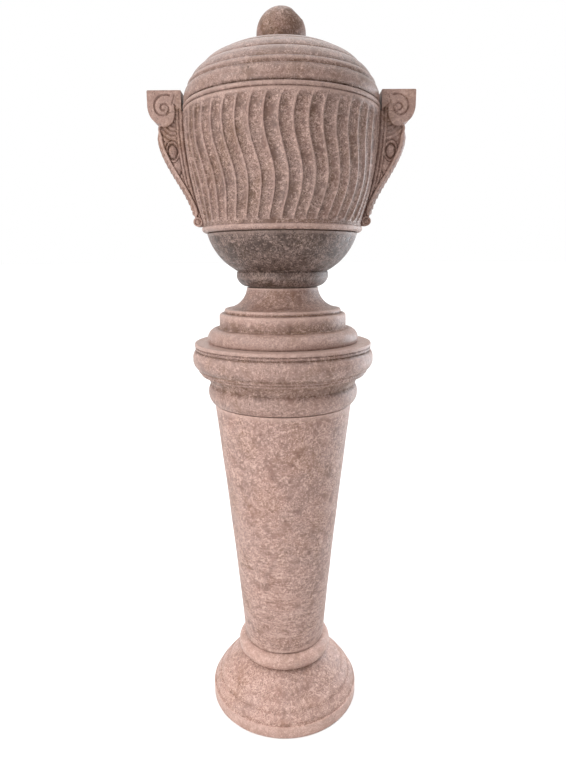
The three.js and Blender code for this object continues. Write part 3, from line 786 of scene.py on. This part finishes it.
# ---- Knob ----------------------------------------------------------------------------
# Half an egg of marble, dowelled to the lid. A small bite is missing from one shoulder, with
# rough brown stone in it.
foot, top, reach = span("lid_knob")
knob_stone = marble("knob_marble", light=0.84, ochre=0.8, pits=0.5, flecks=0.6, gloss=0.42)
knob_outline = Outline(0, foot).to(50, foot).to(reach, foot + 8).dome(0, top, 64)
knob = turned("knob_stone", knob_outline, knob_stone, wear=1.0, spokes=180)
bite_way = np.array((0.66, -0.24, 0.68))
bite_way /= np.linalg.norm(bite_way)
bite_radius, bite_depth = 28.0, 11.0
places = np.zeros(len(knob.data.vertices) * 3)
knob.data.vertices.foreach_get("co", places)
places = places.reshape(-1, 3) / MM
outermost = places[np.argmax(places @ bite_way)]
from_bite = places - (outermost + bite_way * (bite_radius - bite_depth))
deep = from_bite @ bite_way
aside = np.linalg.norm(from_bite, axis=1) ** 2 - deep ** 2
sphere = -np.sqrt(np.clip(bite_radius ** 2 - aside, 0, None)) + unevenness(places * 11, 0.7)
cut_back = np.clip(deep - sphere, 0, None) * (aside < bite_radius ** 2)
knob.data.vertices.foreach_set("co", ((places - cut_back[:, None] * bite_way) * MM).ravel())
mark = np.zeros(len(places))
knob.data.attributes["hollow"].data.foreach_get("value", mark)
stain_middle, stain_reach = outermost - (12, 30, 24), 34
stain = smooth(stain_reach - np.linalg.norm(places - stain_middle, axis=1), 0, 12) * 0.9
mark = np.maximum(mark, np.maximum(smooth(cut_back, 0.1, 1.2), stain))
knob.data.attributes["hollow"].data.foreach_set("value", mark.astype(np.float32))
knob.data.update()
settle(knob, "lid", "lid_knob")

# ---- Mortar beds and dowels ----------------------------------------------------------
# Thin grey-brown lime mortar in the closed joints, and plain steel bars in the stones.
for node in (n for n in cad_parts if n.endswith("_bed")):
    mortar = bpy.data.materials.get("lime_mortar") or bpy.data.materials.new("lime_mortar")
    if not mortar.use_nodes:
        mortar.use_nodes = True
        new = Wire(mortar.node_tree)
        place = new.make("ShaderNodeTexCoord", out="Object")
        sand = new.make("ShaderNodeTexNoise", {}, {"Vector": place, "Scale": 260.0, "Detail": 4.0})
        shader = mortar.node_tree.nodes["Principled BSDF"]
        colour = sand.fade(0.35, 0.65).blend((0.080, 0.055, 0.042), (0.150, 0.110, 0.088))
        bump = new.make("ShaderNodeBump", {}, {"Strength": 0.6, "Distance": 0.0008, "Height": sand})
        mortar.node_tree.links.new(colour.socket, shader.inputs["Base Color"])
        mortar.node_tree.links.new(bump.socket, shader.inputs["Normal"])
        shader.inputs["Roughness"].default_value = 0.95
    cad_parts[node].data.materials.clear()
    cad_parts[node].data.materials.append(mortar)

bar_steel = bpy.data.materials.new("dowel_steel")
bar_steel.use_nodes = True
new = Wire(bar_steel.node_tree)
place = new.make("ShaderNodeTexCoord", out="Object")
drawn = new.make("ShaderNodeMapping", {}, {"Vector": place, "Scale": (1, 1, 0.05)})
streak = new.make("ShaderNodeTexNoise", {}, {"Vector": drawn, "Scale": 900.0, "Detail": 3.0})
blotch = new.make("ShaderNodeTexNoise", {}, {"Vector": place, "Scale": 60.0, "Detail": 3.0})
shader = bar_steel.node_tree.nodes["Principled BSDF"]
shader.inputs["Metallic"].default_value = 1.0
colour = blotch.fade(0.4, 0.7).blend((0.42, 0.42, 0.43), (0.25, 0.23, 0.21))
rough = 0.28 + 0.22 * streak + 0.2 * blotch
bar_steel.node_tree.links.new(colour.socket, shader.inputs["Base Color"])
bar_steel.node_tree.links.new(rough.socket, shader.inputs["Roughness"])
for node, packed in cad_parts.items():
    if "dowel" in node or "_pin_" in node:
        packed.data.materials.clear()
        packed.data.materials.append(bar_steel)

# ---- Floor, light and camera ---------------------------------------------------------
# A pale floor under a white sky that is brighter overhead and behind, two soft lights from the
# left and a cool window to the right. The camera stands close, at the height of the bowl.
floor_mesh = bpy.data.meshes.new("floor")
far = 400  # metres to the floor's edge, past where it can be told from the sky
floor_corners = [(-far, -far, 0), (far, -far, 0), (far, far, 0), (-far, far, 0)]
floor_mesh.from_pydata(floor_corners, [], [(0, 1, 2, 3)])
floor = bpy.data.objects.new("floor", floor_mesh)
bpy.context.scene.collection.objects.link(floor)
pale = bpy.data.materials.new("pale_floor")
pale.use_nodes = True
pale.node_tree.nodes["Principled BSDF"].inputs["Base Color"].default_value = (0.78, 0.78, 0.78, 1)
pale.node_tree.nodes["Principled BSDF"].inputs["Roughness"].default_value = 1.0
pale.node_tree.nodes["Principled BSDF"].inputs["Specular IOR Level"].default_value = 0.0
floor_mesh.materials.append(pale)

sky = bpy.data.worlds.new("white_sky")
sky.use_nodes = True
new = Wire(sky.node_tree)
direction = new.make("ShaderNodeTexCoord", out="Generated")
right, away, upward = [new.make("ShaderNodeSeparateXYZ", {}, {0: direction}, out=k) for k in range(3)]
front = 0.44 - 0.26 * right.fade(-0.1, 0.6)
glow = front + (1 - front) * away.fade(-0.2, 0.5) + 1.9 * upward.fade(0.42, 0.90)
sky.node_tree.nodes["Background"].inputs["Color"].default_value = (1, 1, 1, 1)
sky.node_tree.links.new(glow.socket, sky.node_tree.nodes["Background"].inputs["Strength"])
bpy.context.scene.world = sky
bpy.context.scene.view_settings.view_transform = "Standard"


def soft_light(name, place, aim, size, power, colour):
    """A rectangular panel of light, turned towards a point."""
    light = bpy.data.lights.new(name, "AREA")
    light.shape, light.size, light.size_y = "RECTANGLE", size[0], size[1]
    light.energy, light.color = power, colour
    lamp = bpy.data.objects.new(name, light)
    bpy.context.scene.collection.objects.link(lamp)
    lamp.location = place
    lamp.rotation_euler = (Vector(aim) - Vector(place)).to_track_quat("-Z", "Y").to_euler()


soft_light("left_panel", (-2.5, -1.7, 2.7), (0, 0, 1.5), (1.2, 1.4), 64, (1.0, 0.955, 0.92))
soft_light("low_panel", (-1.2, -2.2, 0.9), (0, 0, 0.2), (0.8, 0.6), 24, (1.0, 0.97, 0.96))
soft_light("right_window", (2.1, 1.3, 1.2), (0, 0, 0.9), (0.9, 2.4), 50, (0.86, 0.93, 1.0))

camera_data = bpy.data.cameras.new("camera")
camera_data.sensor_width = 36.0
camera_data.lens = 26.83
camera = bpy.data.objects.new("camera", camera_data)
bpy.context.scene.collection.objects.link(camera)
camera.location = (0.0, -1.553, 1.2986)
tilt = Matrix.Rotation(math.radians(78.3), 3, "X")
roll = Matrix.Rotation(math.radians(-0.32), 3, "Z")
camera.rotation_euler = (tilt @ roll).to_euler()
bpy.context.scene.camera = camera
